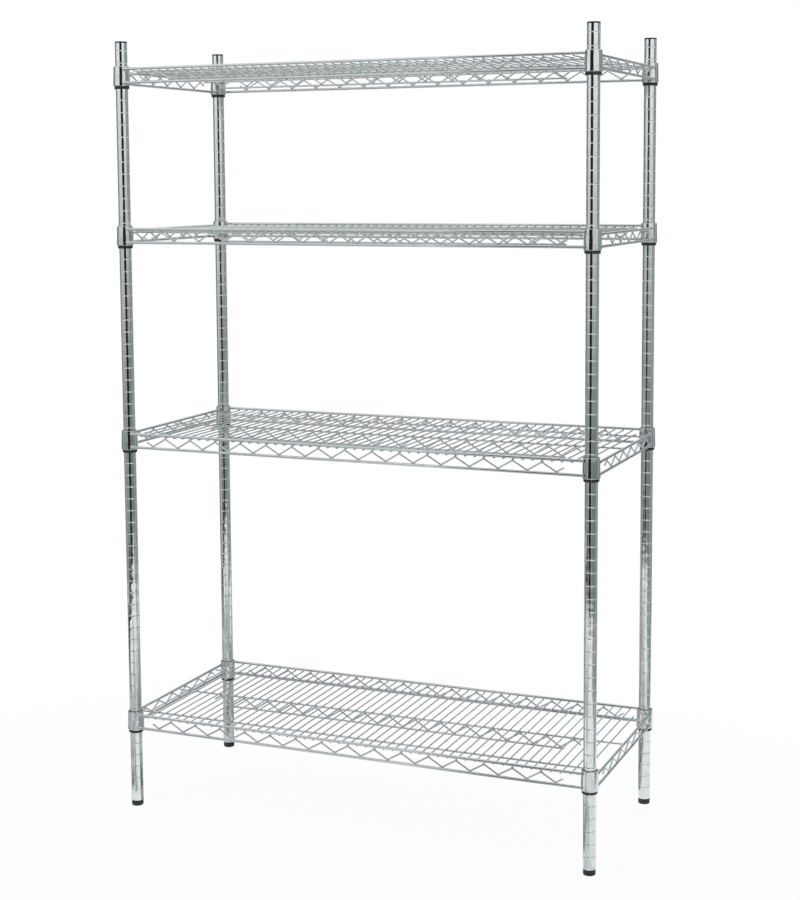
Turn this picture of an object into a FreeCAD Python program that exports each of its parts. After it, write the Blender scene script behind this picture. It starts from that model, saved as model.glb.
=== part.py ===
import FreeCAD, Part
import math
import os
import Sketcher

# Chrome wire shelving unit: four grooved posts, four welded wire shelves held on split sleeves.
# Millimetres, +Z up, +Y to the back. The origin is on the floor, midway between the four posts.

doc = FreeCAD.newDocument("WireShelving")

# Sizes: name, number in millimetres (or a count), what it is
SIZES = [
    ("post_span_x", 1015.0, "between post centres along the front"),
    ("post_span_y", 415.0, "between post centres front to back"),
    ("post_radius", 12.7, "outside of the post tube"),
    ("post_wall", 1.2, "wall of the post tube"),
    ("post_base", 11.5, "lower end of the tube above the floor"),
    ("post_top", 1629.0, "upper end of the tube above the floor"),
    ("notch_first", 38.1, "height of the lowest ring groove"),
    ("notch_pitch", 25.4, "spacing of the ring grooves"),
    ("notch_count", 63, "number of ring grooves"),
    ("notch_depth", 0.6, "depth of a ring groove"),
    ("notch_mouth", 2.4, "width of a ring groove at the surface"),
    ("notch_floor", 1.0, "width of a ring groove at its bottom"),
    ("cap_radius", 12.7, "outside of the post cap"),
    ("cap_dome", 3.0, "height of the cap above the tube"),
    ("cap_round", 0.8, "rounded edge of the cap"),
    ("cap_plug_radius", 11.4, "plug of the cap inside the tube"),
    ("cap_plug_bore", 9.6, "hollow of the plug"),
    ("cap_plug_depth", 14.0, "length of the plug"),
    ("insert_radius", 11.4, "bush in the lower tube end"),
    ("insert_length", 30.0, "length of that bush"),
    ("insert_recess", 0.6, "how far the bush sits inside the tube"),
    ("insert_bore", 4.35, "radius of the bush's bore"),
    ("stud_radius", 4.0, "outside of the levelling screw"),
    ("stud_root", 3.4, "root of the screw's thread"),
    ("stud_pitch", 1.5, "pitch of the screw"),
    ("stud_rings", 20, "turns of thread"),
    ("stud_foot", 3.2, "lower face of the screw's head above the floor"),
    ("stud_head_radius", 7.0, "head of the screw inside the pad"),
    ("stud_head", 2.6, "thickness of that head"),
    ("stud_length", 40.0, "screw above its head"),
    ("pad_radius", 12.4, "outside of the levelling pad"),
    ("pad_height", 10.9, "height of the pad"),
    ("pad_round", 1.6, "rounded lower edge of the pad"),
    ("pad_gap", 0.35, "play between pad and screw"),
    ("sleeve_height", 47.2, "height of a split sleeve"),
    ("sleeve_bottom", 15.5, "outside of the sleeve at its lower end"),
    ("sleeve_top", 14.2, "outside of the sleeve at its upper end"),
    ("sleeve_fit", 0.1, "between the post and the sleeve's bore"),
    ("sleeve_slot", 0.6, "slot between the two halves"),
    ("sleeve_edge", 1.6, "bevel of the sleeve's lower edge"),
    ("ridge_level", 28.0, "inner ridge above the sleeve's lower end"),
    ("ridge_width", 1.4, "width of the inner ridge at the bore"),
    ("ridge_depth", 0.5, "how far the ridge reaches into the groove"),
    ("collar_rise", 6.2, "collar's lower end above the sleeve's lower end"),
    ("collar_height", 40.5, "height of a collar"),
    ("collar_gap", 0.3, "between sleeve and collar"),
    ("collar_wall", 1.85, "wall of a collar"),
    ("collar_edge", 1.0, "bevel of the collar's lower edge"),
    ("level_one", 162.5, "bottom shelf: lower end of its sleeves"),
    ("level_two", 772.1, "second shelf"),
    ("level_three", 1203.9, "third shelf"),
    ("level_four", 1534.1, "top shelf"),
    ("rail_radius", 2.9, "edge rails of a shelf"),
    ("rail_offset", 13.0, "edge rails outboard of the post centres"),
    ("rail_end", 10.5, "rail ends stop this far from the post centres"),
    ("upper_rail", 40.8, "front and back upper rails above the sleeve's lower end"),
    ("lower_rail", 12.8, "all lower rails above the sleeve's lower end"),
    ("weld_gap", 0.05, "gap left at each weld"),
    ("deck_radius", 1.45, "deck wires"),
    ("deck_pitch", 19.6667, "spacing of the deck wires"),
    ("deck_count", 49, "full-length deck wires"),
    ("deck_inset", 3.2, "wire ends behind the rails' outer faces"),
    ("end_wire_half", 174.0, "half the length of the two short end wires"),
    ("chord_radius", 2.0, "wires that run under the deck"),
    ("inner_wire", 167.0, "inner long wires from the middle of the shelf"),
    ("centre_depth", 24.4, "between the two chords of the middle truss"),
    ("centre_half", 392.0, "half the length of its lower chord"),
    ("zigzag_radius", 1.7, "zigzag wires"),
    ("zigzag_period", 59.0, "one full wave of a zigzag"),
    ("zigzag_bend", 4.5, "bend of a zigzag at its centre line"),
    ("front_waves", 15, "waves of the front and back zigzags"),
    ("side_waves", 5, "waves of the side zigzags"),
    ("centre_waves", 14, "waves of the middle zigzag"),
]
sheet = doc.addObject("Spreadsheet::Sheet", "Sizes")
for row, (alias, number, note) in enumerate(SIZES, start=1):
    sheet.set(f"A{row}", alias)
    sheet.set(f"B{row}", str(number))
    sheet.set(f"C{row}", note)
    sheet.setAlias(f"B{row}", alias)
doc.recompute()


def size(alias):
    """One number from the sheet."""
    return float(sheet.get(alias))


def cells(text):
    """Puts the sheet's name before every size word of an expression."""
    words = sorted((alias for alias, _, _ in SIZES), key=len, reverse=True)
    out = ""
    while text:
        word = next((w for w in words if text.startswith(w)), None)
        inside = bool(out) and (out[-1].isalnum() or out[-1] in "_.")
        if word and not inside:
            out += "Sizes." + word
            text = text[len(word):]
        else:
            out += text[0]
            text = text[1:]
    return out


def bind(thing, **expressions):
    """Binds properties of one object to expressions of the sheet."""
    for prop, text in expressions.items():
        thing.setExpression(prop.replace("__", "."), cells(text))
    return thing


def plane_of(body, role):
    """One of a body's own origin planes."""
    return next(f for f in body.Origin.OriginFeatures if f.Role == role)


def profile(body, name, corners):
    """A closed half section in the XZ plane; each corner is (radius, height) as expressions."""
    sketch = body.newObject("Sketcher::SketchObject", name)
    sketch.AttachmentSupport = (plane_of(body, "XZ_Plane"), [""])
    sketch.MapMode = "FlatFace"
    count = len(corners)
    values = [[evaluate(part) for part in corner] for corner in corners]
    for i in range(count):
        a, b = values[i], values[(i + 1) % count]
        sketch.addGeometry(Part.LineSegment(FreeCAD.Vector(a[0], a[1], 0), FreeCAD.Vector(b[0], b[1], 0)))
    for i in range(count):
        sketch.addConstraint(Sketcher.Constraint("Coincident", i, 2, (i + 1) % count, 1))
    for i, (radius, height) in enumerate(corners):
        across, up = values[i]
        for axis, kind, text, value in ((-2, "DistanceX", radius, across), (-1, "DistanceY", height, up)):
            if text == "0":
                sketch.addConstraint(Sketcher.Constraint("PointOnObject", i, 1, axis))
            else:
                index = sketch.addConstraint(Sketcher.Constraint(kind, -1, 1, i, 1, value))
                sketch.setExpression(f"Constraints[{index}]", cells(text))
    return sketch


def evaluate(text):
    """The number an expression of the sheet has now."""
    probe = doc.addObject("App::FeaturePython", "Probe")
    probe.addProperty("App::PropertyFloat", "Value")
    probe.setExpression("Value", cells(text))
    probe.recompute()
    value = probe.Value
    doc.removeObject(probe.Name)
    return value


def turned(name, corners):
    """A body made by turning a half section about the vertical axis."""
    body = doc.addObject("PartDesign::Body", name)
    sketch = profile(body, name + "Section", corners)
    turn = body.newObject("PartDesign::Revolution", name + "Turn")
    turn.Profile = sketch
    turn.ReferenceAxis = (sketch, ["V_Axis"])
    turn.Angle = 360
    body.Tip = turn
    doc.recompute()
    return body


def ring_grooves(body, name, corners, length, count):
    """Cuts one ring groove into a body and repeats it upwards."""
    sketch = profile(body, name + "Section", corners)
    groove = body.newObject("PartDesign::Groove", name)
    groove.Profile = sketch
    groove.ReferenceAxis = (sketch, ["V_Axis"])
    groove.Angle = 360
    body.Tip = groove
    doc.recompute()
    row = body.newObject("PartDesign::LinearPattern", name + "Row")
    row.Originals = [groove]
    row.Direction = (sketch, ["V_Axis"])
    bind(row, Length=length, Occurrences=count)
    body.Tip = row
    doc.recompute()


def round_edge(body, name, radius, height, alias):
    """Rounds the circular edge of a body that has this radius at this height."""
    base = body.Tip
    names = [f"Edge{i}" for i, edge in enumerate(base.Shape.Edges, start=1)
             if hasattr(edge.Curve, "Radius") and abs(edge.Curve.Radius - radius) < 1e-6
             and abs(edge.BoundBox.ZMax - height) < 1e-6 and abs(edge.BoundBox.ZMin - height) < 1e-6]
    fillet = body.newObject("PartDesign::Fillet", name)
    fillet.Base = (base, names)
    bind(fillet, Radius=alias)
    body.Tip = fillet
    doc.recompute()


def cylinder(name, radius, length, direction, start):
    """A straight round wire along X or Y from a start point given as expressions."""
    wire = doc.addObject("Part::Cylinder", name)
    bind(wire, Radius=radius, Height=length)
    turns = {"x": (FreeCAD.Vector(0, 1, 0), 90), "y": (FreeCAD.Vector(1, 0, 0), -90)}
    wire.Placement = FreeCAD.Placement(FreeCAD.Vector(0, 0, 0), FreeCAD.Rotation(*turns[direction]))
    bind(wire, Placement__Base__x=start[0], Placement__Base__y=start[1], Placement__Base__z=start[2])
    return wire


def group(name, links):
    """Several master pieces kept together."""
    thing = doc.addObject("Part::Compound", name)
    thing.Links = links
    return thing


def turn_about_z(thing, degrees):
    """Turns one object about the vertical axis."""
    upright = FreeCAD.Rotation(FreeCAD.Vector(0, 0, 1), degrees)
    thing.Placement = FreeCAD.Placement(FreeCAD.Vector(0, 0, 0), upright)


nodes = []


def node(label, links, at, turn=0):
    """One named sub-part: master pieces put in their place."""
    thing = group(label, links)
    thing.Label = label
    turn_about_z(thing, turn)
    bind(thing, Placement__Base__x=at[0], Placement__Base__y=at[1], Placement__Base__z=at[2])
    nodes.append(thing)


CORNERS = {
    "front_left": ("-post_span_x / 2", "-post_span_y / 2", 100),
    "front_right": ("post_span_x / 2", "-post_span_y / 2", 16),
    "back_left": ("-post_span_x / 2", "post_span_y / 2", 100),
    "back_right": ("post_span_x / 2", "post_span_y / 2", 100),
}
LEVELS = {1: "level_one", 2: "level_two", 3: "level_three", 4: "level_four"}

# Post: a tube with ring grooves
post = turned("Post", [
    ("post_radius - post_wall", "post_base"), ("post_radius", "post_base"),
    ("post_radius", "post_top"), ("post_radius - post_wall", "post_top")])
ring_grooves(post, "Notch", [
    ("post_radius - notch_depth", "notch_first - notch_floor / 2"),
    ("post_radius", "notch_first - notch_mouth / 2"),
    ("post_radius + 1", "notch_first - notch_mouth / 2"),
    ("post_radius + 1", "notch_first + notch_mouth / 2"),
    ("post_radius", "notch_first + notch_mouth / 2"),
    ("post_radius - notch_depth", "notch_first + notch_floor / 2")],
    "(notch_count - 1) * notch_pitch", "notch_count")

# Cap: a low rounded lid with a hollow plug
cap = turned("Cap", [
    ("0", "post_top + cap_dome"), ("cap_radius", "post_top + cap_dome"),
    ("cap_radius", "post_top + weld_gap"), ("cap_plug_radius", "post_top + weld_gap"),
    ("cap_plug_radius", "post_top - cap_plug_depth"), ("cap_plug_bore", "post_top - cap_plug_depth"),
    ("cap_plug_bore", "post_top - 1"), ("0", "post_top - 1")])
round_edge(cap, "CapRound", size("cap_radius"), size("post_top") + size("cap_dome"), "cap_round")

# Bush in the lower tube end
insert = turned("Insert", [
    ("insert_bore", "post_base + insert_recess + 0.8"), ("insert_bore + 0.8", "post_base + insert_recess"),
    ("insert_radius", "post_base + insert_recess"),
    ("insert_radius", "post_base + insert_recess + insert_length"),
    ("insert_bore", "post_base + insert_recess + insert_length")])

# Levelling screw: a threaded rod with a flat head inside the pad
shank = "stud_foot + stud_head"
stud = turned("Stud", [
    ("0", "stud_foot"), ("stud_head_radius", "stud_foot"),
    ("stud_head_radius", shank), ("stud_radius", shank),
    ("stud_radius", shank + " + stud_length - 1"), ("stud_radius - 1", shank + " + stud_length"),
    ("0", shank + " + stud_length")])
ring_grooves(stud, "Thread", [
    ("stud_root", shank + " + 8"), ("stud_radius + 0.1", shank + " + 8 - stud_pitch * 0.45"),
    ("stud_radius + 0.1", shank + " + 8 + stud_pitch * 0.45")],
    "(stud_rings - 1) * stud_pitch", "stud_rings")

# Levelling pad: a round foot that turns on the screw's head
neck = "stud_radius + pad_gap"
chamber = "stud_head_radius + pad_gap"
pad = turned("Pad", [
    ("0", "0"), ("pad_radius", "0"), ("pad_radius", "pad_height - 0.8"), ("pad_radius - 0.8", "pad_height"),
    (neck, "pad_height"), (neck, shank + " + pad_gap"), (chamber, shank + " + pad_gap"),
    (chamber, "stud_foot - pad_gap"), ("0", "stud_foot - pad_gap")])
round_edge(pad, "PadRound", size("pad_radius"), 0.0, "pad_round")

# Split sleeve: a tapered shell with an inner ridge, cut into two halves by a thin slot
bore = "post_radius + sleeve_fit"
crest = "post_radius - ridge_depth"
sleeve = turned("Sleeve", [
    (bore, "0"), ("sleeve_bottom - sleeve_edge * 0.6", "0"), ("sleeve_bottom", "sleeve_edge"),
    ("sleeve_top", "sleeve_height - 0.4"), ("sleeve_top - 0.4", "sleeve_height"), (bore, "sleeve_height"),
    (bore, "ridge_level + ridge_width / 2"), (crest, "ridge_level + ridge_width / 4"),
    (crest, "ridge_level - ridge_width / 4"), (bore, "ridge_level - ridge_width / 2")])
slot = doc.addObject("Part::Box", "SleeveSlot")
bind(slot, Length="sleeve_slot", Width="4 * sleeve_bottom", Height="2 * sleeve_height")
bind(slot, Placement__Base__x="-sleeve_slot / 2", Placement__Base__y="-2 * sleeve_bottom",
     Placement__Base__z="-sleeve_height / 2")
halves = doc.addObject("Part::Cut", "SleeveHalves")
halves.Base = sleeve
halves.Tool = slot

# Collar: a tapered tube that follows the sleeve at a small gap
slope = "(sleeve_bottom - sleeve_top) / (sleeve_height - 0.4 - sleeve_edge)"
low = f"(sleeve_bottom - (collar_rise - sleeve_edge) * {slope} + collar_gap)"
high = f"(sleeve_bottom - (collar_rise + collar_height - sleeve_edge) * {slope} + collar_gap)"
ends = ("collar_rise", "collar_rise + collar_height")
collar = turned("Collar", [
    (low, ends[0]), (low + " + collar_wall - collar_edge", ends[0]),
    (low + f" + collar_wall - collar_edge * {slope}", ends[0] + " + collar_edge"),
    (high + " + collar_wall", ends[1]), (high, ends[1])])

# Levels inside a shelf, above the lower end of its sleeves
deck_level = "upper_rail - rail_radius - deck_radius - weld_gap"
chord_level = deck_level + " - deck_radius - weld_gap - chord_radius"


def zigzag(name, waves, low_level, high_level, tops_outside, offset):
    """A bent wire in the XZ plane: straight legs, round bends, half a leg at each end."""
    half = size("zigzag_period") / 2
    bend = size("zigzag_bend")
    rise = high_level - low_level
    lift = 0.0
    for _ in range(20):
        angle = math.atan2(rise + 2 * lift, half)
        lift = bend * (1 / math.cos(angle) - 1)
    bends = 2 * int(waves) + 1
    corners = []
    for i in range(bends):
        top = (i % 2 == 0) == tops_outside
        height = high_level + lift if top else low_level - lift
        corners.append(FreeCAD.Vector((i - waves) * half, offset, height))
    middle = (low_level + high_level) / 2
    first = FreeCAD.Vector(corners[0].x - half / 2, offset, middle)
    last = FreeCAD.Vector(corners[-1].x + half / 2, offset, middle)
    path = []
    here = first
    for i, corner in enumerate(corners):
        ahead = corners[i + 1] if i + 1 < bends else last
        back = (first if i == 0 else corners[i - 1]).sub(corner).normalize()
        on = FreeCAD.Vector(ahead).sub(corner).normalize()
        reach = bend * math.tan(angle)
        enter = corner.add(back * reach)
        leave = corner.add(on * reach)
        inward = (back + on).normalize()
        apex = corner.add(inward * lift)
        path.append(Part.LineSegment(here, enter).toShape())
        path.append(Part.Arc(enter, apex, leave).toShape())
        here = leave
    path.append(Part.LineSegment(here, last).toShape())
    spine = Part.Wire(path)
    ring = Part.Wire([Part.Circle(first, corners[0].sub(first), size("zigzag_radius")).toShape()])
    thing = doc.addObject("Part::Feature", name)
    thing.Shape = spine.makePipeShell([ring], True, False)
    return thing


def edge_truss(name, span, top_level, zig):
    """Two rails along X outboard of two posts, their ends shaped to the collars, and a zigzag between."""
    cones = []
    for side, sign in (("A", "-"), ("B", "")):
        cone = doc.addObject("Part::Cone", f"{name}Cope{side}")
        bind(cone, Radius1=low + " + collar_wall + weld_gap", Radius2=high + " + collar_wall + weld_gap",
             Height="collar_height", Placement__Base__x=f"{sign}{span} / 2", Placement__Base__z=ends[0])
        cones.append(cone)
    copes = group(f"{name}Copes", cones)
    pieces = []
    for word, level in (("Upper", top_level), ("Lower", "lower_rail")):
        rail = cylinder(f"{name}{word}Rod", "rail_radius", f"{span} - 2 * rail_end", "x",
                        (f"-{span} / 2 + rail_end", "-rail_offset", level))
        cut = doc.addObject("Part::Cut", f"{name}{word}Rail")
        cut.Base = rail
        cut.Tool = copes
        pieces.append(cut)
    return pieces + [zig]


rise_low = size("lower_rail") + size("rail_radius") + size("weld_gap") + size("zigzag_radius")
deck_z = size("upper_rail") - size("rail_radius") - size("deck_radius") - size("weld_gap")
chord_z = deck_z - size("deck_radius") - size("weld_gap") - size("chord_radius")
under_deck = deck_z - size("deck_radius") - size("weld_gap") - size("zigzag_radius")
under_side = deck_z - size("rail_radius") - size("weld_gap") - size("zigzag_radius")
chord_skin = size("chord_radius") + size("weld_gap") + size("zigzag_radius")

# Front and back trusses
front_zig = zigzag("FrontZigzag", size("front_waves"), rise_low, under_deck, False, -size("rail_offset"))
front_truss = edge_truss("Front", "post_span_x", "upper_rail", front_zig)

# Side trusses: their upper rails lie level with the deck wires
side_zig = zigzag("SideZigzag", size("side_waves"), rise_low, under_side, True, -size("rail_offset"))
side_truss = edge_truss("Side", "post_span_y", deck_level, side_zig)

# Middle truss under the deck: a full-length upper chord, a shorter lower chord and a zigzag
reach = "post_span_x / 2 + rail_offset - rail_radius"
centre_top = cylinder("CentreUpperChord", "chord_radius", f"2 * ({reach})", "x",
                      (f"-({reach})", "0", chord_level))
centre_low = cylinder("CentreLowerChord", "chord_radius", "2 * centre_half", "x",
                      ("-centre_half", "0", chord_level + " - centre_depth"))
centre_zig = zigzag("CentreZigzag", size("centre_waves"), chord_z - size("centre_depth") + chord_skin,
                    chord_z - chord_skin, True, 0.0)

# Inner long wires under the deck, one near the front and one near the back
inner_front = cylinder("InnerFrontWire", "chord_radius", f"2 * ({reach})", "x",
                       (f"-({reach})", "-inner_wire", chord_level))
inner_back = cylinder("InnerBackWire", "chord_radius", f"2 * ({reach})", "x",
                      (f"-({reach})", "inner_wire", chord_level))

# Deck wires: front to back under the upper rails; the two end ones stop short of the collars
deck_half = "(post_span_y / 2 + rail_offset + rail_radius - deck_inset)"
deck = []
for i in range(int(size("deck_count"))):
    deck.append(cylinder(f"DeckWire{i + 1:02d}", "deck_radius", f"2 * {deck_half}", "y",
                         (f"({i} - (deck_count - 1) / 2) * deck_pitch", f"-{deck_half}", deck_level)))
for word, sign in (("Left", "-"), ("Right", "")):
    deck.append(cylinder(f"DeckEnd{word}", "deck_radius", "2 * end_wire_half", "y",
                         (f"{sign}(deck_count + 1) / 2 * deck_pitch", "-end_wire_half", deck_level)))
doc.recompute()

# Corner sub-parts
for corner, (x, y, _) in CORNERS.items():
    node(f"post_{corner}", [post], (x, y, "0"))
    node(f"cap_{corner}", [cap], (x, y, "0"))
    node(f"insert_{corner}", [insert], (x, y, "0"))
    node(f"stud_{corner}", [stud], (x, y, "0"))
    node(f"foot_{corner}", [pad], (x, y, "0"))

# One sleeve pair per corner, placed about the middle of the unit
sleeve_pairs = []
collar_set = []
for corner, (x, y, seam) in CORNERS.items():
    pair = group(f"Pair_{corner}", [halves])
    turn_about_z(pair, seam)
    bind(pair, Placement__Base__x=x, Placement__Base__y=y)
    sleeve_pairs.append(pair)
    ring = group(f"Ring_{corner}", [collar])
    bind(ring, Placement__Base__x=x, Placement__Base__y=y)
    collar_set.append(ring)
doc.recompute()

# Shelf sub-parts, level by level
for number, level in LEVELS.items():
    node(f"sleeves_{number}", sleeve_pairs, ("0", "0", level))
    node(f"shelf{number}_collars", collar_set, ("0", "0", level))
    node(f"shelf{number}_truss_front", front_truss, ("0", "-post_span_y / 2", level))
    node(f"shelf{number}_truss_back", front_truss, ("0", "post_span_y / 2", level), 180)
    node(f"shelf{number}_truss_right", side_truss, ("post_span_x / 2", "0", level), 90)
    node(f"shelf{number}_truss_left", side_truss, ("-post_span_x / 2", "0", level), -90)
    node(f"shelf{number}_truss_centre", [centre_top, centre_low, centre_zig], ("0", "0", level))
    node(f"shelf{number}_inner_wires", [inner_front, inner_back], ("0", "0", level))
    node(f"shelf{number}_deck", deck, ("0", "0", level))
doc.recompute()

# Every object is sound before anything is written
for thing in doc.Objects:
    if "Invalid" in thing.State or "Error" in thing.State:
        raise RuntimeError(f"{thing.Label} did not build: {thing.State}")
os.makedirs("parts", exist_ok=True)
for thing in nodes:
    if thing.Shape.isNull() or not thing.Shape.isValid():
        raise RuntimeError(f"{thing.Label} has no sound shape")
    thing.Shape.exportStep(f"parts/{thing.Label}.step")
    box = thing.Shape.BoundBox
    print(f"{thing.Label}: {len(thing.Shape.Solids)} solids, {thing.Shape.Volume:.0f} mm3, "
          f"x {box.XMin:.1f} {box.XMax:.1f} y {box.YMin:.1f} {box.YMax:.1f} "
          f"z {box.ZMin:.1f} {box.ZMax:.1f}")
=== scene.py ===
# %% [markdown]
# # A chrome wire shelving unit
# Four grooved posts carry four welded wire shelves. Those solids are exact but their meshes are coarse,
# so this lesson makes finer pieces for everything that shows, gives them their finishes and lets each
# one ride on the body it belongs to.

# %% Load the frame
import math
import bmesh
import bpy
from mathutils import Matrix, Vector


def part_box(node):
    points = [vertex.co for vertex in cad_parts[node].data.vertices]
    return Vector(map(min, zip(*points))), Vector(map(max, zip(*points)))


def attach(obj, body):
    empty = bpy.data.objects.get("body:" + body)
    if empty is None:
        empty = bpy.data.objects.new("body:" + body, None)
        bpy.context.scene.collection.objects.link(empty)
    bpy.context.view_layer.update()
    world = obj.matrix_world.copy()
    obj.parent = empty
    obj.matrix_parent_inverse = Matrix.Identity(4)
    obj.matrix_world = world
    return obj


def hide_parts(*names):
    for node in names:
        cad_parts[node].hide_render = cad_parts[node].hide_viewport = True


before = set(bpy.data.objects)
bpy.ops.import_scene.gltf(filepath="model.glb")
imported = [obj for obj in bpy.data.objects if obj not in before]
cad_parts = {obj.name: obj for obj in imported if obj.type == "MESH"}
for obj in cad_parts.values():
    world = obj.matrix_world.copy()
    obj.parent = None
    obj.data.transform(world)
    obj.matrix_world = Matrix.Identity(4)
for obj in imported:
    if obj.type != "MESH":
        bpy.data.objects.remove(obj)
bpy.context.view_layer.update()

# %% [markdown]
# ## Where things are
# Nothing is typed in twice: the posts' centres and the shelves' levels are read from the boxes of the
# solids. Only the sizes that a box can't tell, such as a wire's radius, are written down, in millimetres
# turned to metres by one function.

# %% Places read from the solids
def mm(value):
    return value / 1000.0


def centre_of(node):
    low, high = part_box(node)
    return (Vector(low) + Vector(high)) / 2


def new_object(name, data):
    thing = bpy.data.objects.new(name, data)
    bpy.context.scene.collection.objects.link(thing)
    return thing


CORNERS = ("front_left", "front_right", "back_left", "back_right")
POSTS = {corner: centre_of(f"post_{corner}") for corner in CORNERS}
LEVELS = {number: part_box(f"sleeves_{number}")[0][2] for number in (1, 2, 3, 4)}
HALF_X = POSTS["front_right"].x
HALF_Y = POSTS["back_right"].y
print("post centres at x", round(HALF_X, 4), "y", round(HALF_Y, 4))
print("shelf levels", [round(level, 4) for level in LEVELS.values()])

# %% [markdown]
# ## The camera
# The photograph was taken from the right of the middle, at about four fifths of the unit's height. The
# place, the turn and the focal length were found by matching the post tops, feet and sleeve rings. The
# small lens shift lets the camera look less steeply down, which keeps the posts nearly upright.

# %% Camera
CAMERA_PLACE = (mm(1418.53), mm(-3315.68), mm(1344.47))
YAW, PITCH, ROLL = (math.radians(angle) for angle in (-22.744, -5.851, -0.349))
lens_data = bpy.data.cameras.new("photo_lens")
lens_data.sensor_width = 36.0
lens_data.lens = 68.76
lens_data.shift_y = -0.105
lens_data.clip_end = 100.0
camera = new_object("photo_camera", lens_data)
forward = Vector((math.sin(YAW) * math.cos(PITCH), math.cos(YAW) * math.cos(PITCH), math.sin(PITCH)))
level_right = Vector((math.cos(YAW), -math.sin(YAW), 0.0))
level_up = level_right.cross(forward)
right = math.cos(ROLL) * level_right + math.sin(ROLL) * level_up
up = math.cos(ROLL) * level_up - math.sin(ROLL) * level_right
turn = Matrix((right, up, -forward)).transposed().to_4x4()
camera.matrix_world = Matrix.Translation(CAMERA_PLACE) @ turn
bpy.context.scene.camera = camera
bpy.context.scene.view_settings.view_transform = "Standard"
print("camera at", [round(value, 3) for value in camera.location], "lens", lens_data.lens)

# %% [markdown]
# ## Making materials
# A material is a small net of nodes. One function adds a node, sets its properties, and fills its
# sockets, which go by name or by number: a plain number or colour is set on the socket, and another
# node's output is linked to it. Colours are written as sRGB hex values, as a colour picker shows them,
# and turned to linear light.

# %% Node and colour helpers
MIX_FIRST, MIX_SECOND, MIX_RESULT = 6, 7, 2


def add_node(tree, kind, sockets=None, settings=None):
    node = tree.nodes.new(kind)
    for name, value in (settings or {}).items():
        setattr(node, name, value)
    for socket, value in (sockets or {}).items():
        if isinstance(value, bpy.types.NodeSocket):
            tree.links.new(value, node.inputs[socket])
        else:
            node.inputs[socket].default_value = value
    return node


def linear(hex_colour):
    values = [int(hex_colour[i:i + 2], 16) / 255 for i in (1, 3, 5)]
    return [v / 12.92 if v <= 0.04045 else ((v + 0.055) / 1.055) ** 2.4 for v in values] + [1.0]


def per_metre(millimetres):
    return 1000.0 / millimetres


def new_tree(name):
    material = bpy.data.materials.new(name)
    material.use_nodes = True
    material.node_tree.nodes.clear()
    return material, material.node_tree


def colour_mix(tree, amount, first, second):
    mix = add_node(tree, "ShaderNodeMix", {
        "Factor": amount, MIX_FIRST: linear(first), MIX_SECOND: linear(second)}, {"data_type": "RGBA"})
    return mix.outputs[MIX_RESULT]


print("white is", linear("#ffffff")[:3])

# %% [markdown]
# ## Bright chrome on steel tube
# The posts are welded steel tube, polished and plated with nickel and chromium. Plated steel mirrors the
# room with a cool tint, and the tube's polish leaves it very slightly wavy, so mirrored edges wobble.
# Metallic is 1, the colour is chromium's, and two layers of noise work on the mirror: a wave of about
# 26 mm from the polishing wheel bends it, and patches of about 18 mm soften the gloss. The collars are
# rolled from thicker strip, with shorter and steeper waves; the drawn wires are a little greyer and
# duller.

# %% Chrome finishes
def plated(name, tint, shade, gloss, haze, wave_mm, wave_depth_mm):
    material, tree = new_tree(name)
    place = add_node(tree, "ShaderNodeTexCoord").outputs["Object"]
    patches = add_node(tree, "ShaderNodeTexNoise", {
        "Vector": place, "Scale": per_metre(18), "Detail": 4.0, "Roughness": 0.6}).outputs["Fac"]
    cloud = add_node(tree, "ShaderNodeMapRange", {
        "Value": patches, "From Min": 0.35, "From Max": 0.7,
        "To Min": gloss, "To Max": haze}).outputs["Result"]
    colour = colour_mix(tree, patches, tint, shade)
    waves = add_node(tree, "ShaderNodeTexNoise", {
        "Vector": place, "Scale": per_metre(wave_mm), "Detail": 1.0}).outputs["Fac"]
    dents = add_node(tree, "ShaderNodeBump", {
        "Height": waves, "Strength": 1.0, "Distance": mm(wave_depth_mm)}).outputs["Normal"]
    skin = add_node(tree, "ShaderNodeBsdfPrincipled", {
        "Base Color": colour, "Metallic": 1.0, "Roughness": cloud, "Normal": dents})
    add_node(tree, "ShaderNodeOutputMaterial", {"Surface": skin.outputs[0]})
    return material


POST_CHROME = plated("chrome_on_tube", "#eef1f1", "#c3cacb", 0.05, 0.16, 26, 0.50)
WIRE_CHROME = plated("chrome_on_drawn_wire", "#d9dddd", "#c1c6c6", 0.08, 0.18, 12, 0.08)
COLLAR_CHROME = plated("chrome_on_rolled_collar", "#eceff0", "#b9bfc0", 0.06, 0.18, 15, 0.42)
print("chrome finishes:", POST_CHROME.name, WIRE_CHROME.name, COLLAR_CHROME.name)

# %% [markdown]
# ## Black plastics
# Sleeves, caps and feet are injection moulded. The mould's texture gives a fine grain, drawn here at
# about 1 mm because the true 0.1 mm grain is too fine to show, and handling leaves paler, smoother
# patches about two centimetres wide. The caps have a duller skin than the sleeves, so they stay dark.

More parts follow.
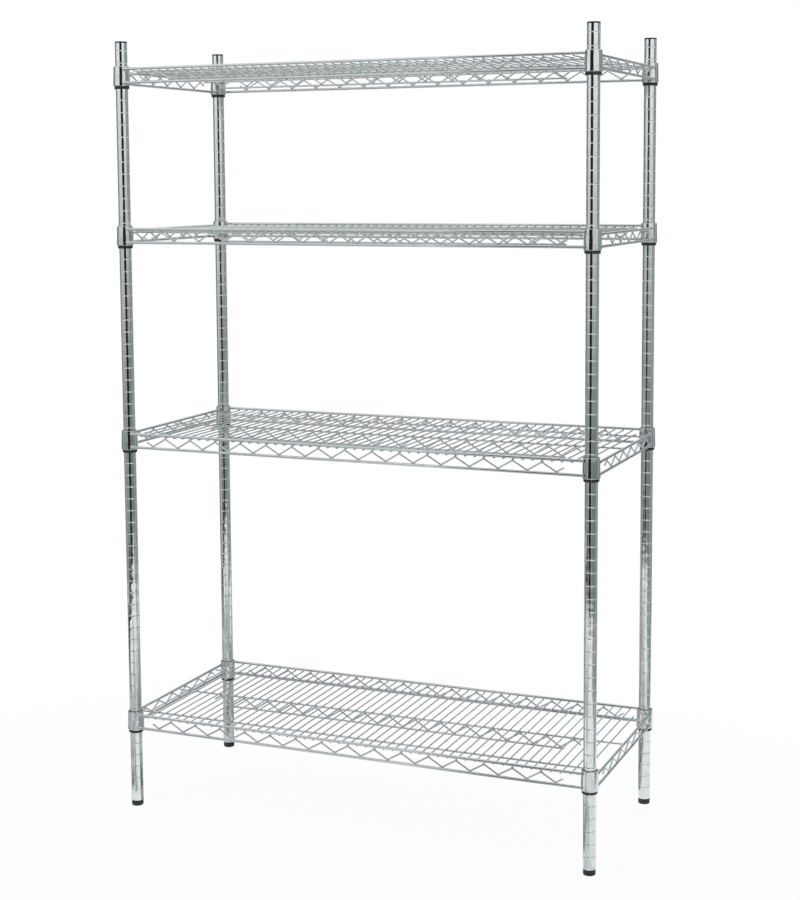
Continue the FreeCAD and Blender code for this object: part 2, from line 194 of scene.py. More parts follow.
# %% Plastic finishes
def moulded(name, colour, worn, rough, smooth, grain_mm, shine=0.5):
    material, tree = new_tree(name)
    place = add_node(tree, "ShaderNodeTexCoord").outputs["Object"]
    wear = add_node(tree, "ShaderNodeTexNoise", {
        "Vector": place, "Scale": per_metre(22), "Detail": 3.0}).outputs["Fac"]
    blend = colour_mix(tree, wear, colour, worn)
    sheen = add_node(tree, "ShaderNodeMapRange", {
        "Value": wear, "From Min": 0.3, "From Max": 0.7,
        "To Min": rough, "To Max": smooth}).outputs["Result"]
    grain = add_node(tree, "ShaderNodeTexNoise", {
        "Vector": place, "Scale": per_metre(grain_mm), "Detail": 2.0}).outputs["Fac"]
    pits = add_node(tree, "ShaderNodeBump", {
        "Height": grain, "Strength": 0.5, "Distance": mm(0.06)}).outputs["Normal"]
    skin = add_node(tree, "ShaderNodeBsdfPrincipled", {
        "Base Color": blend, "Roughness": sheen, "IOR": 1.5, "Specular IOR Level": shine, "Normal": pits})
    add_node(tree, "ShaderNodeOutputMaterial", {"Surface": skin.outputs[0]})
    return material


SLEEVE_PLASTIC = moulded("moulded_black_nylon", "#1b1d1e", "#26292b", 0.48, 0.36, 0.8)
CAP_PLASTIC = moulded("moulded_dark_grey_cap", "#16181a", "#1f2224", 0.72, 0.60, 0.8, 0.15)
FOOT_PLASTIC = moulded("moulded_black_foot", "#18191a", "#232526", 0.58, 0.44, 1.2)
BUSH_PLASTIC = moulded("moulded_black_bush", "#202224", "#2a2d2f", 0.55, 0.45, 0.8)
print("plastic finishes:", SLEEVE_PLASTIC.name, CAP_PLASTIC.name, FOOT_PLASTIC.name, BUSH_PLASTIC.name)

# %% [markdown]
# The levelling screws are zinc-plated steel: greyer and duller than chrome, with fine turning lines that
# run round the thread, drawn as bands across the screw's axis.

# %% Zinc finish
def zinc_plated(name):
    material, tree = new_tree(name)
    place = add_node(tree, "ShaderNodeTexCoord").outputs["Object"]
    stretched = add_node(tree, "ShaderNodeMapping", {
        "Vector": place, "Scale": (per_metre(9), per_metre(9), per_metre(0.5))}).outputs[0]
    lines = add_node(tree, "ShaderNodeTexNoise", {
        "Vector": stretched, "Scale": 1.0, "Detail": 3.0}).outputs["Fac"]
    gloss = add_node(tree, "ShaderNodeMapRange", {
        "Value": lines, "To Min": 0.24, "To Max": 0.44}).outputs["Result"]
    cuts = add_node(tree, "ShaderNodeBump", {
        "Height": lines, "Strength": 0.4, "Distance": mm(0.04)}).outputs["Normal"]
    skin = add_node(tree, "ShaderNodeBsdfPrincipled", {
        "Base Color": linear("#a9adad"), "Metallic": 1.0, "Roughness": gloss, "Normal": cuts})
    add_node(tree, "ShaderNodeOutputMaterial", {"Surface": skin.outputs[0]})
    return material


ZINC = zinc_plated("zinc_plated_screw")
print("zinc finish:", ZINC.name)

# %% [markdown]
# ## Shapes from rings
# Nearly every piece is round in section: tubes, wires and turned plastic. Two functions make most of
# them. `turned` spins an outline of (radius, height) pairs about the vertical; `wire` sweeps a circle
# along a path that lies in one plane, and eases its two ends. Each gives a list of points and a list of
# faces, in metres.

# %% Turned shapes and wires
def turned(outline, sides=40, start=0.0, sweep=2 * math.pi, closed=False):
    full = math.isclose(sweep, 2 * math.pi)
    spokes = sides if full else sides + 1
    points = []
    for k in range(spokes):
        angle = start + sweep * k / sides
        points += [Vector((r * math.cos(angle), r * math.sin(angle), z)) for r, z in outline]
    count = len(outline)
    faces = []
    for k in range(sides):
        a, b = k * count, ((k + 1) % spokes) * count
        for i in range(count if closed else count - 1):
            j = (i + 1) % count
            faces.append((a + i, b + i, b + j, a + j))
    if closed and not full:
        faces.append(tuple(range(count)))
        faces.append(tuple(reversed(range(sides * count, sides * count + count))))
    return points, faces


def wire(path, radius, flat, sides, ease):
    spine = [Vector(point) for point in path]
    first = spine[0] + (spine[1] - spine[0]).normalized() * ease
    last = spine[-1] + (spine[-2] - spine[-1]).normalized() * ease
    spine = [spine[0], first] + spine[1:-1] + [last, spine[-1]]
    sizes = [radius - ease] + [radius] * (len(spine) - 2) + [radius - ease]
    flat = Vector(flat).normalized()
    points = []
    for i, point in enumerate(spine):
        along = (spine[min(i + 1, len(spine) - 1)] - spine[max(i - 1, 0)]).normalized()
        across = along.cross(flat).normalized()
        for k in range(sides):
            angle = 2 * math.pi * k / sides
            points.append(point + sizes[i] * (math.cos(angle) * flat + math.sin(angle) * across))
    faces = []
    for i in range(len(spine) - 1):
        a, b = i * sides, (i + 1) * sides
        for k in range(sides):
            j = (k + 1) % sides
            faces.append((a + k, b + k, b + j, a + j))
    faces.append(tuple(range(sides)))
    faces.append(tuple(reversed(range(len(points) - sides, len(points)))))
    return points, faces


def moved(shape, matrix):
    return [matrix @ point for point in shape[0]], shape[1]


def placed(shape, x, y, z):
    return moved(shape, Matrix.Translation((x, y, z)))


print("points in a test wire:", len(wire([(0, 0, 0), (1, 0, 0)], mm(2), (0, 0, 1), 12, mm(0.3))[0]))

# %% [markdown]
# `piece` turns a list of shapes into one object, smooths it but keeps edges sharper than 35 degrees, sets
# it to ride on its body, hides the solids it stands for and gives it its finish.

# %% Making a piece
def piece(name, shapes, material, body, nodes):
    points, faces = [], []
    for shape_points, shape_faces in shapes:
        base = len(points)
        points += shape_points
        faces += [tuple(base + i for i in face) for face in shape_faces]
    mesh = bpy.data.meshes.new(name)
    mesh.from_pydata(points, [], faces)
    rounded = bmesh.new()
    rounded.from_mesh(mesh)
    bmesh.ops.recalc_face_normals(rounded, faces=rounded.faces)
    rounded.to_mesh(mesh)
    rounded.free()
    mesh.shade_smooth()
    mesh.set_sharp_from_angle(angle=math.radians(35))
    mesh.materials.append(material)
    thing = new_object(name, mesh)
    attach(thing, body)
    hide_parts(*nodes)
    print(name, len(points), "points")


# %% [markdown]
# ## Posts
# A post is a one-inch tube with a rolled groove every inch. Rolling leaves a soft trough, so the groove's
# outline follows a cosine instead of a sharp cut. Two rings just outside each end of the trough keep the
# long plain stretches of tube perfectly straight in the reflections. The tube's ends are lists of
# (inset, height) pairs in millimetres: a broken edge, and a little of the inside that shows.

# %% Posts
POST_RADIUS = mm(12.7)
POST_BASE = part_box("post_front_left")[0][2]
POST_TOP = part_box("post_front_left")[1][2]
LOWER_END = ((1.2, 6.0), (1.2, 0.3), (0.9, 0.0), (0.4, 0.0), (0.0, 0.4), (0.0, 1.2))
UPPER_END = ((0.0, -0.8), (0.0, -0.3), (0.3, 0.0), (1.1, 0.0))
GROOVE_FIRST, GROOVE_STEP, GROOVE_COUNT = mm(38.1), mm(25.4), 63
GROOVE_DEPTH, GROOVE_HALF = mm(0.5), mm(1.0)
GROOVE_RINGS = (-1.7, -1.2, -0.9, -0.55, -0.2, 0.2, 0.55, 0.9, 1.2, 1.7)


def trough(offset):
    if abs(offset) >= GROOVE_HALF:
        return POST_RADIUS
    return POST_RADIUS - GROOVE_DEPTH * (1 + math.cos(math.pi * offset / GROOVE_HALF)) / 2


post_outline = [(POST_RADIUS - mm(inset), POST_BASE + mm(height)) for inset, height in LOWER_END]
for i in range(GROOVE_COUNT):
    groove = GROOVE_FIRST + i * GROOVE_STEP
    post_outline += [(trough(mm(offset)), groove + mm(offset)) for offset in GROOVE_RINGS]
post_outline += [(POST_RADIUS - mm(inset), POST_TOP + mm(height)) for inset, height in UPPER_END]
for corner, spot in POSTS.items():
    piece(f"grooved_post_{corner}", [placed(turned(post_outline), spot.x, spot.y, 0)], POST_CHROME,
          "frame", [f"post_{corner}"])

# %% [markdown]
# ## Caps and feet
# The cap is a low lid with an upright rim, a soft edge and a very slight crown. The foot is a plain
# moulded disc with a rounded lower edge. The bush and the screw above it are small solids with fine
# meshes of their own, so they stay as they are and only take a finish.

# %% Caps, feet, bushes and screws
cap_outline = [(mm(r), POST_TOP + mm(z)) for r, z in (
    (0.01, 2.98), (4.0, 2.96), (8.0, 2.91), (10.8, 2.84), (11.7, 2.76), (12.2, 2.58), (12.5, 2.28),
    (12.65, 1.85), (12.68, 1.3), (12.68, 0.4), (12.6, 0.14), (12.3, 0.06), (11.4, 0.06), (11.4, -3.0))]
foot_outline = [(mm(r), mm(z)) for r, z in (
    (0.01, 0.25), (6.0, 0.25), (8.6, 0.2), (9.4, 0.0), (10.8, 0.0), (11.45, 0.13), (11.95, 0.46),
    (12.28, 0.98), (12.4, 1.6), (12.4, 3.0), (12.4, 9.2), (12.4, 10.0), (12.25, 10.5), (11.85, 10.82),
    (11.4, 10.9), (4.5, 10.9), (4.36, 10.7), (4.36, 6.2))]
for corner, spot in POSTS.items():
    piece(f"lid_{corner}", [placed(turned(cap_outline), spot.x, spot.y, 0)], CAP_PLASTIC,
          "frame", [f"cap_{corner}"])
    piece(f"levelling_pad_{corner}", [placed(turned(foot_outline), spot.x, spot.y, 0)], FOOT_PLASTIC,
          f"foot_{corner}", [f"foot_{corner}"])
    for node, finish in ((f"insert_{corner}", BUSH_PLASTIC), (f"stud_{corner}", ZINC)):
        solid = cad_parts[node]
        solid.data.materials.clear()
        solid.data.materials.append(finish)

# %% [markdown]
# ## Split sleeves
# Each sleeve is a tapered shell in two halves that clip round the post. Only its bevelled lower ring, a
# thin line above the collar and the seam between the halves show. The halves are swept from one closed
# section, and each stops 0.3 mm short of the seam's middle at both ends.

# %% Sleeves
SEAM_TURN = {"front_left": 100, "front_right": 16, "back_left": 100, "back_right": 100}
SEAM_ANGLE = math.asin(0.3 / 15.0)
sleeve_section = [(mm(r), mm(z)) for r, z in (
    (12.8, 0.0), (14.5, 0.0), (14.95, 0.2), (15.35, 0.85), (15.5, 1.6), (15.47, 2.6), (14.22, 46.2),
    (14.2, 46.8), (13.9, 47.15), (13.7, 47.2), (12.8, 47.2))]
for number, level in LEVELS.items():
    halves = []
    for corner, spot in POSTS.items():
        for side in (-90, 90):
            begin = math.radians(SEAM_TURN[corner] + side) + SEAM_ANGLE
            half = turned(sleeve_section, 22, begin, math.pi - 2 * SEAM_ANGLE, closed=True)
            halves.append(placed(half, spot.x, spot.y, level))
    piece(f"split_sleeves_{number}", halves, SLEEVE_PLASTIC,
          "frame", [f"sleeves_{number}"])

# %% [markdown]
# ## Collars
# A collar is a short tapered steel tube, plated with the shelf. It follows the sleeve with a small gap,
# and its rims are rounded by the plating, which catches a thin line of light at the top and bottom. Its
# section is a list of (inset, height) pairs, the inset measured from the tapered face.

# %% Collars
COLLAR_LOW, COLLAR_HIGH = mm(6.2), mm(46.7)
COLLAR_WIDE, COLLAR_NARROW = mm(17.52), mm(16.35)
COLLAR_SLOPE = (COLLAR_WIDE - COLLAR_NARROW) / (COLLAR_HIGH - COLLAR_LOW)


def collar_radius(height):
    return COLLAR_WIDE - (height - COLLAR_LOW) * COLLAR_SLOPE


collar_section = [(collar_radius(mm(height)) - mm(inset), mm(height)) for inset, height in (
    (1.85, 6.7), (1.5, 6.3), (1.0, 6.2), (0.55, 6.32), (0.2, 6.68), (0.05, 7.3), (0.02, 8.3), (0.0, 20.0),
    (0.0, 33.0), (0.0, 45.4), (0.05, 46.1), (0.3, 46.5), (0.75, 46.7), (1.3, 46.65), (1.75, 46.3),
    (1.85, 45.6))]
collar = turned(collar_section, 48, closed=True)
for number, level in LEVELS.items():
    rings = [placed(collar, spot.x, spot.y, level) for spot in POSTS.values()]
    piece(f"collars_{number}", rings, COLLAR_CHROME,
          f"shelf_{number}", [f"shelf{number}_collars"])

# %% [markdown]
# ## Shelf wires
# A shelf is a grid of drawn wires, spot welded and plated in one go. Along each edge runs a truss: an
# upper and a lower rail with a zigzag wire between them. The rails stop where they meet the collars, so
# each point of a rail's end is pushed back to the collar's face, as the fitter's coped cut would be. The
# part of a rail's end that passes the collar stops at one plane.

# %% Rails with coped ends
RAIL_RADIUS, RAIL_OUT, RAIL_STOP = mm(2.9), mm(13.0), mm(10.5)
RAIL_SINK = mm(0.1)


def coped_rail(span, height, sides=20):
    points, faces = [], []
    for end in (-1, 1):
        for k in range(sides):
            angle = 2 * math.pi * k / sides
            y = -RAIL_OUT + RAIL_RADIUS * math.cos(angle)
            z = height + RAIL_RADIUS * math.sin(angle)
            skin = collar_radius(z) - RAIL_SINK
            stop = math.sqrt(max(skin * skin - y * y, 0.0))
            points.append(Vector((end * (span - max(stop, RAIL_STOP)), y, z)))
    for k in range(sides):
        j = (k + 1) % sides
        faces.append((k, sides + k, sides + j, j))
    faces.append(tuple(range(sides)))
    faces.append(tuple(reversed(range(sides, 2 * sides))))
    return points, faces


print("rail from", coped_rail(HALF_X, mm(40.8))[0][0])

# %% [markdown]
# The zigzag is one wire bent to and fro. Its legs are straight and its bends round, so the path is worked
# out as it is bent: a corner for each turn, then an arc that touches both legs. Half a leg is left over
# at each end. The legs' slope depends on how far the bends cut the corners, so it is found by repetition.

# %% Zigzag path
ZIGZAG_RADIUS, ZIGZAG_HALF, BEND = mm(1.7), mm(29.5), mm(4.5)
SLOPE_ROUNDS, BEND_STEPS = 20, 6


def zigzag_path(waves, low, high, tops_outside, y):
    lift = 0.0
    for _ in range(SLOPE_ROUNDS):
        angle = math.atan2(high - low + 2 * lift, ZIGZAG_HALF)
        lift = BEND * (1 / math.cos(angle) - 1)
    path = [Vector((-(waves + 0.5) * ZIGZAG_HALF, y, (low + high) / 2))]
    for i in range(2 * waves + 1):
        top = (i % 2 == 0) == tops_outside
        sign = 1 if top else -1
        centre = Vector(((i - waves) * ZIGZAG_HALF, y, (high if top else low) - sign * BEND))
        for step in range(BEND_STEPS + 1):
            sweep = -angle + 2 * angle * step / BEND_STEPS
            path.append(centre + BEND * Vector((math.sin(sweep), 0, sign * math.cos(sweep))))
    path.append(Vector(((waves + 0.5) * ZIGZAG_HALF, y, (low + high) / 2)))
    return path


def zigzag_wire(waves, low, high, tops_outside, y):
    path = zigzag_path(waves, low, high, tops_outside, y)
    return wire(path, ZIGZAG_RADIUS, (0, 1, 0), 12, mm(0.25))


print("a zigzag of 15 waves has", len(zigzag_path(15, mm(17.45), mm(33.2), False, 0)), "path points")

# %% [markdown]
# ## Spot welds
# Where two wires cross they are pressed together and melt into each other. Each weld is a small flattened
# bead, given by its half sizes in millimetres along X, along Y and upright.

# %% Weld beads
BEAD_ROWS, BEAD_SPOKES = 5, 8


def bead(x, y, z, half_x, half_y, half_z):
    points, faces = [], []
    for row in range(BEAD_ROWS):
        tilt = math.pi * (row + 0.5) / BEAD_ROWS - math.pi / 2
        for k in range(BEAD_SPOKES):
            angle = 2 * math.pi * k / BEAD_SPOKES
            points.append(Vector((x + mm(half_x) * math.cos(tilt) * math.cos(angle),
                                  y + mm(half_y) * math.cos(tilt) * math.sin(angle),
                                  z + mm(half_z) * math.sin(tilt))))
    for row in range(BEAD_ROWS - 1):
        low, high = row * BEAD_SPOKES, (row + 1) * BEAD_SPOKES
        for k in range(BEAD_SPOKES):
            j = (k + 1) % BEAD_SPOKES
            faces.append((low + k, low + j, high + j, high + k))
    faces.append(tuple(reversed(range(BEAD_SPOKES))))
    faces.append(tuple(range((BEAD_ROWS - 1) * BEAD_SPOKES, BEAD_ROWS * BEAD_SPOKES)))
    return points, faces


print("points in a bead:", len(bead(0, 0, 0, 4, 1.5, 1)[0]))

# %% [markdown]
# ## Edge trusses
# One function makes a truss lying along X in front of two posts. The front and back ones are the same
# piece turned half round, the side ones are shorter, with the upper rail level with the deck wires.

# %% Front, back and side trusses
LOWER_RAIL, UPPER_RAIL, DECK_LEVEL = mm(12.8), mm(40.8), mm(36.4)
WELD_GAP = mm(0.05)
ZIGZAG_LOW = LOWER_RAIL + RAIL_RADIUS + WELD_GAP + ZIGZAG_RADIUS
FRONT_WAVES, FRONT_ZIGZAG_HIGH = 15, mm(33.20)
SIDE_WAVES, SIDE_ZIGZAG_HIGH = 5, mm(31.75)
EDGE_BEAD = (4.2, 1.5, 0.8)


def edge_truss(span, top, waves, zigzag_high, tops_outside):
    shapes = [coped_rail(span, top), coped_rail(span, LOWER_RAIL),
              zigzag_wire(waves, ZIGZAG_LOW, zigzag_high, tops_outside, -RAIL_OUT)]
    for i in range(2 * waves + 1):
        at_top = (i % 2 == 0) == tops_outside
        weld = zigzag_high + ZIGZAG_RADIUS + WELD_GAP if at_top else LOWER_RAIL + RAIL_RADIUS
        shapes.append(bead((i - waves) * ZIGZAG_HALF, -RAIL_OUT, weld, *EDGE_BEAD))
    return shapes


front_truss = edge_truss(HALF_X, UPPER_RAIL, FRONT_WAVES, FRONT_ZIGZAG_HIGH, False)
side_truss = edge_truss(HALF_Y, DECK_LEVEL, SIDE_WAVES, SIDE_ZIGZAG_HIGH, True)
TRUSSES = {"front": (front_truss, 0, -HALF_Y, 0), "back": (front_truss, 0, HALF_Y, 180),
           "right": (side_truss, HALF_X, 0, 90), "left": (side_truss, -HALF_X, 0, -90)}
for number, level in LEVELS.items():
    for side, (shapes, x, y, degrees) in TRUSSES.items():
        spot = Matrix.Translation((x, y, level)) @ Matrix.Rotation(math.radians(degrees), 4, "Z")
        piece(f"truss_{side}_{number}", [moved(shape, spot) for shape in shapes], WIRE_CHROME,
              f"shelf_{number}", [f"shelf{number}_truss_{side}"])

# %% [markdown]
# ## Under the deck
# A lighter truss runs along the middle, and two plain wires near the front and the back. All three touch
# the deck wires from below and end at the side rails. The middle truss's lower chord is shorter.

# %% Middle truss and inner wires
CHORD_RADIUS, CHORD_LEVEL = mm(2.0), mm(32.9)
CHORD_REACH = HALF_X + RAIL_OUT - RAIL_RADIUS
LOW_CHORD_LEVEL, LOW_CHORD_REACH = mm(8.5), mm(392)
CENTRE_WAVES, CENTRE_ZIGZAG_LOW, CENTRE_ZIGZAG_HIGH = 14, mm(12.25), mm(29.15)
CENTRE_WELD_HIGH, CENTRE_WELD_LOW = mm(30.9), mm(10.5)
CENTRE_BEAD = (4.0, 1.4, 0.8)
INNER_OUT = mm(167)


def long_wire(reach, y, z):
    return wire([(-reach, y, z), (reach, y, z)], CHORD_RADIUS, (0, 0, 1), 14, mm(0.3))


centre_truss = [long_wire(CHORD_REACH, 0, CHORD_LEVEL), long_wire(LOW_CHORD_REACH, 0, LOW_CHORD_LEVEL),
                zigzag_wire(CENTRE_WAVES, CENTRE_ZIGZAG_LOW, CENTRE_ZIGZAG_HIGH, True, 0.0)]
for i in range(2 * CENTRE_WAVES + 1):
    weld = CENTRE_WELD_HIGH if i % 2 == 0 else CENTRE_WELD_LOW
    centre_truss.append(bead((i - CENTRE_WAVES) * ZIGZAG_HALF, 0, weld, *CENTRE_BEAD))
inner_wires = [long_wire(CHORD_REACH, side * INNER_OUT, CHORD_LEVEL) for side in (-1, 1)]
for number, level in LEVELS.items():
    piece(f"truss_centre_{number}", [placed(shape, 0, 0, level) for shape in centre_truss], WIRE_CHROME,
          f"shelf_{number}", [f"shelf{number}_truss_centre"])
    piece(f"inner_wires_{number}", [placed(shape, 0, 0, level) for shape in inner_wires], WIRE_CHROME,
          f"shelf_{number}", [f"shelf{number}_inner_wires"])

# %% [markdown]
# ## Deck wires
# The deck is 49 thin wires from front to back, welded under the upper rails, and a shorter one at each
# end that stops before the collars. The long ones end, with a bevel, under the middle of the front and
# back rails.

# %% Deck
DECK_RADIUS, DECK_STEP, DECK_BEVEL = mm(1.45), mm(19.6667), mm(0.8)
DECK_REACH = HALF_Y + RAIL_OUT + RAIL_RADIUS - mm(3.2)
END_WIRE, END_WIRE_REACH = 25, mm(174)
INNER_BEAD, RAIL_BEAD = (1.5, 1.9, 0.6), (1.9, 1.5, 0.6)
deck_wires = []
for i in range(-END_WIRE, END_WIRE + 1):
    short = abs(i) == END_WIRE
    reach = END_WIRE_REACH if short else DECK_REACH
    x = i * DECK_STEP
    path = [(x, -reach, DECK_LEVEL), (x, reach, DECK_LEVEL)]
    deck_wires.append(wire(path, DECK_RADIUS, (0, 0, 1), 12, DECK_BEVEL))
    for y in (-INNER_OUT, 0.0, INNER_OUT):
        deck_wires.append(bead(x, y, DECK_LEVEL - DECK_RADIUS - WELD_GAP, *INNER_BEAD))
    for side in () if short else (-1, 1):
        deck_wires.append(bead(x, side * (HALF_Y + RAIL_OUT), DECK_LEVEL + DECK_RADIUS, *RAIL_BEAD))
for number, level in LEVELS.items():
    piece(f"deck_wires_{number}", [placed(shape, 0, 0, level) for shape in deck_wires], WIRE_CHROME,
          f"shelf_{number}", [f"shelf{number}_deck"])

# %% [markdown]
# ## Floor and world
# The unit stands on a pale floor in a white studio. What the camera and the mirrors see of the world is
# plain white; the light that falls on the object is softer. The floor is mostly the same white, mixed
# with a little honest white paint, so that it keeps the soft shadow under the feet.

# %% Floor and world
FLOOR_HALF, FLOOR_FRONT, FLOOR_BACK = 2.5, -4.9, 1.6


def sees_white(tree, strength):
    path = add_node(tree, "ShaderNodeLightPath")
    mirror = add_node(tree, "ShaderNodeMath", {
        0: path.outputs["Is Camera Ray"], 1: path.outputs["Is Glossy Ray"]}, {"operation": "MAXIMUM"})
    either = add_node(tree, "ShaderNodeMath", {
        0: mirror.outputs[0], 1: path.outputs["Is Transmission Ray"]}, {"operation": "MAXIMUM"})
    share = add_node(tree, "ShaderNodeMath", {
        0: either.outputs[0], 1: strength}, {"operation": "MULTIPLY"})
    return share.outputs[0]


floor_paint, floor_tree = new_tree("white_floor")
paint = add_node(floor_tree, "ShaderNodeBsdfDiffuse", {"Color": linear("#f2f2f2")})
glow = add_node(floor_tree, "ShaderNodeEmission", {"Color": linear("#ffffff"), "Strength": 1.0})
floor_place = add_node(floor_tree, "ShaderNodeTexCoord").outputs["Object"]
near = add_node(floor_tree, "ShaderNodeMapping", {"Vector": floor_place, "Scale": (0.7, 0.9, 0.9)})
pool = add_node(floor_tree, "ShaderNodeTexGradient", {
    "Vector": near.outputs[0]}, {"gradient_type": "SPHERICAL"})
clean = add_node(floor_tree, "ShaderNodeMapRange", {
    "Value": pool.outputs["Fac"], "From Min": 0.0, "From Max": 0.5, "To Min": 1.0, "To Max": 0.94})
floor_mix = add_node(floor_tree, "ShaderNodeMixShader", {
    "Fac": sees_white(floor_tree, clean.outputs[0]), 1: paint.outputs[0], 2: glow.outputs[0]})
add_node(floor_tree, "ShaderNodeOutputMaterial", {"Surface": floor_mix.outputs[0]})
floor_mesh = bpy.data.meshes.new("floor")
floor_mesh.from_pydata([(-FLOOR_HALF, FLOOR_FRONT, 0), (FLOOR_HALF, FLOOR_FRONT, 0),
                        (FLOOR_HALF, FLOOR_BACK, 0), (-FLOOR_HALF, FLOOR_BACK, 0)], [], [(0, 1, 2, 3)])
floor_mesh.materials.append(floor_paint)
floor = new_object("floor", floor_mesh)
floor.location.z = mm(-0.3)

world = bpy.data.worlds.new("white_studio")
bpy.context.scene.world = world
world.use_nodes = True
sky_tree = world.node_tree
sky_tree.nodes.clear()
soft = add_node(sky_tree, "ShaderNodeBackground", {"Color": linear("#f4f6f8"), "Strength": 0.75})
white = add_node(sky_tree, "ShaderNodeBackground", {"Color": linear("#ffffff"), "Strength": 1.0})
sky = add_node(sky_tree, "ShaderNodeMixShader", {
    "Fac": sees_white(sky_tree, 1.0), 1: soft.outputs[0], 2: white.outputs[0]})
add_node(sky_tree, "ShaderNodeOutputWorld", {"Surface": sky.outputs[0]})
print("floor and world ready")

# %% [markdown]
# ## Cards that draw the chrome
# Chrome has no colour of its own: in an all-white room it would vanish. Photographers stand grey and
# black cards round it, and their mirror images draw the tubes. Only the mirrors see these cards. Each
# stands on an arc about the unit: radius in metres, first and last direction in degrees (0 is straight in
# front, positive to the right), lower and upper edge, and two colours that blend from bottom to top.
# The black one in front draws the dark stripe, the grey ones beside it fade to white with height, and two
# low dark ones on the left shade the feet. The far cards stand in one ring round the sides and the back,
# each in one colour, and give the posts' edges their greys from any side.

# %% Cards near and far
NEAR_CARDS = {
    "black_card": (2.2, -14, 28.5, 0.0, 2.4, "#23282a", "#23282a"),
    "right_low": (2.5, 30, 87, 0.0, 1.65, "#828989", "#ffffff"),
    "left_low": (2.07, -66, -17.5, 0.0, 1.68, "#959c9d", "#ffffff"),
    "left_base": (2.05, -84, -23, 0.0, 0.07, "#2a2e30", "#2a2e30"),
    "left_foot": (2.03, -40, -17.5, 0.0, 0.24, "#2f3436", "#2f3436"),
}
FAR_CARDS = {
    "right_card": (87, 112, "#8c9294"), "right_pale": (112, 124, "#c3c8c9"),
    "right_rear": (124, 150, "#8c9294"), "dark_rear": (150, 164, "#7d8485"),
    "pale_rear": (164, 174, "#f2f4f4"), "black_rear": (174, 183, "#2f3436"),
    "white_rear": (183, 200, "#ffffff"), "grey_rear": (200, 212, "#a0a7a8"),
    "light_rear": (212, 222, "#f2f4f4"), "left_rear": (222, 246, "#7f8688"),
    "left_dark": (246, 258, "#33383a"), "left_card": (258, 292, "#9aa0a2"),
}
FAR_RADIUS, FAR_LOW, FAR_HIGH = 5.0, -1.5, 3.4
CARDS = dict(NEAR_CARDS)
for name, (begin, end, colour) in FAR_CARDS.items():
    CARDS[name] = (FAR_RADIUS, begin, end, FAR_LOW, FAR_HIGH, colour, colour)
print("cards:", len(NEAR_CARDS), "near,", len(FAR_CARDS), "far")

# %% [markdown]
# A card is a plain sheet that glows in its own grey, so no lamp can change it. Its felt blends two colours
# by an amount that another function works out: for standing cards that is the height, and the lowest third
# keeps the first colour.

# %% Standing cards
CARD_STEPS, FADE_START = 24, 0.35


def card_piece(name, points, faces, first, second, amount_of):
    mesh = bpy.data.meshes.new(name)
    mesh.from_pydata(points, [], faces)
    felt, felt_tree = new_tree(name + "_felt")
    place = add_node(felt_tree, "ShaderNodeTexCoord").outputs["Object"]
    greys = add_node(felt_tree, "ShaderNodeValToRGB", {"Fac": amount_of(felt_tree, place)})
    greys.color_ramp.elements[0].color = linear(first)
    greys.color_ramp.elements[1].color = linear(second)
    shine = add_node(felt_tree, "ShaderNodeEmission", {"Color": greys.outputs["Color"], "Strength": 1.0})
    add_node(felt_tree, "ShaderNodeOutputMaterial", {"Surface": shine.outputs[0]})
    mesh.materials.append(felt)
    card = new_object(name, mesh)
    card.visible_camera = False
    card.visible_diffuse = False
    card.visible_shadow = False


def height_share(top):
    def amount(tree, place):
        height = add_node(tree, "ShaderNodeSeparateXYZ", {"Vector": place}).outputs["Z"]
        return add_node(tree, "ShaderNodeMapRange", {
            "Value": height, "From Min": top * FADE_START, "From Max": top}).outputs["Result"]
    return amount


for name, (radius, begin, end, bottom, top, low_colour, high_colour) in CARDS.items():
    points = []
    for k in range(CARD_STEPS + 1):
        heading = math.radians(begin + (end - begin) * k / CARD_STEPS)
        x, y = radius * math.sin(heading), -radius * math.cos(heading)
        points += [(x, y, bottom), (x, y, top)]
    faces = [(2 * k, 2 * k + 2, 2 * k + 3, 2 * k + 1) for k in range(CARD_STEPS)]
    card_piece(name, points, faces, low_colour, high_colour, height_share(top))
print("standing cards:", ", ".join(CARDS))
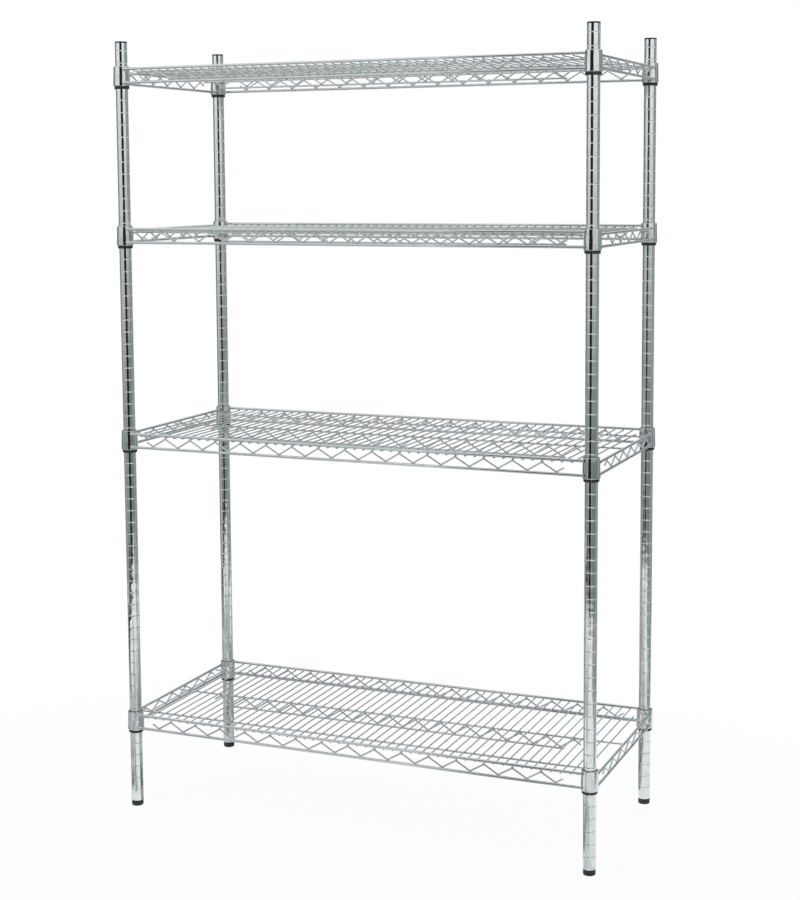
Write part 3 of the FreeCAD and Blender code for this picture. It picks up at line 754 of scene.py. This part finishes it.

# %% [markdown]
# Low down, the posts mirror the floor close by. Grey sheets lie there that glow in their own greys and
# that
# only the mirrors see: painted shade of the floor near the unit. Each is given by its corners and its two
# greys, blended by noise of about 260 mm into painted blotches of shade; the pale one by the front right
# foot is painted light.

# %% Shade sheets on the floor
SHADE_SHEET_LEVEL = mm(0.2)
# Glowing sheets that only the mirrors see: painted shade of the floor near the unit, and one patch of
# painted light.
SHADE_SHEETS = {
    "rear_shade_sheet": (-0.62, 0.12, 0.42, 1.6, "#6f7678", "#eef0f0"),
    "right_shade_sheet": (1.1, -0.3, 2.5, 1.6, "#5d6365", "#d5d9d9"),
    "right_front_shade_sheet": (1.45, -1.2, 2.5, -0.3, "#7a8182", "#d5d9d9"),
    "left_shade_sheet": (-2.5, -0.3, -0.62, 1.6, "#6f7678", "#eef0f0"),
    "under_shade_sheet": (-0.62, -0.2, 0.42, 0.12, "#6f7678", "#e2e6e6"),
    "front_left_shade_sheet": (-1.5, -1.0, -0.42, -0.3, "#8b9293", "#e2e6e6"),
    # painted light: a bright sheet that the lower front right and back right posts mirror instead of the
    # shaded floor
    "bright_right_light_sheet": (0.56, -0.75, 1.1, -0.12, "#e9ecec", "#ffffff"),
    "dark_left_shade_sheet": (-2.06, -1.25, -1.5, -0.3, "#33383a", "#6f7678"),
    "front_shade_sheet": (-0.42, -1.75, 0.15, -0.75, "#a9b0b1", "#dfe3e3"),
    "front_right_shade_sheet": (0.06, -0.75, 0.56, -0.2, "#9aa1a2", "#f4f6f6"),
}


# Painted blotches of shade: noise of about 260 mm blends each sheet's two greys.
def shade_blotches(tree, place):
    noise = add_node(tree, "ShaderNodeTexNoise", {
        "Vector": place, "Scale": per_metre(260), "Detail": 3.0, "Distortion": 1.2}).outputs["Fac"]
    return add_node(tree, "ShaderNodeMapRange", {
        "Value": noise, "From Min": 0.38, "From Max": 0.66}).outputs["Result"]


for name, (x0, y0, x1, y1, dark_grey, pale_grey) in SHADE_SHEETS.items():
    points = [(x, y, SHADE_SHEET_LEVEL) for x, y in ((x0, y0), (x1, y0), (x1, y1), (x0, y1))]
    card_piece(name, points, [(0, 1, 2, 3)], dark_grey, pale_grey, shade_blotches)
print("shade_sheets:", ", ".join(SHADE_SHEETS))

# %% [markdown]
# ## Lamps
# Three large soft boxes light the plastics and the floor: a key lamp high on the left in front, a weaker
# one on the right and one behind. Each has a place, a width in metres and a power in watts, and looks at
# the middle of the unit. The mirrors don't see them, so the cards alone draw the chrome.

# %% Lamps
LAMPS = {"key_box": ((-2.6, -3.2, 3.6), 2.4, 40.0), "fill_box": ((3.4, -2.0, 2.8), 2.0, 16.0),
         "rear_box": ((0.0, 3.4, 3.6), 2.4, 27.0)}
LAMP_TARGET = Vector((0, 0, 0.8))
for name, (spot, width, watts) in LAMPS.items():
    light = bpy.data.lights.new(name, "AREA")
    light.size = width
    light.energy = watts
    lamp = new_object(name, light)
    lamp.location = spot
    lamp.rotation_euler = (LAMP_TARGET - Vector(spot)).to_track_quat("-Z", "Y").to_euler()
    lamp.visible_glossy = False
print("lamps:", ", ".join(LAMPS))
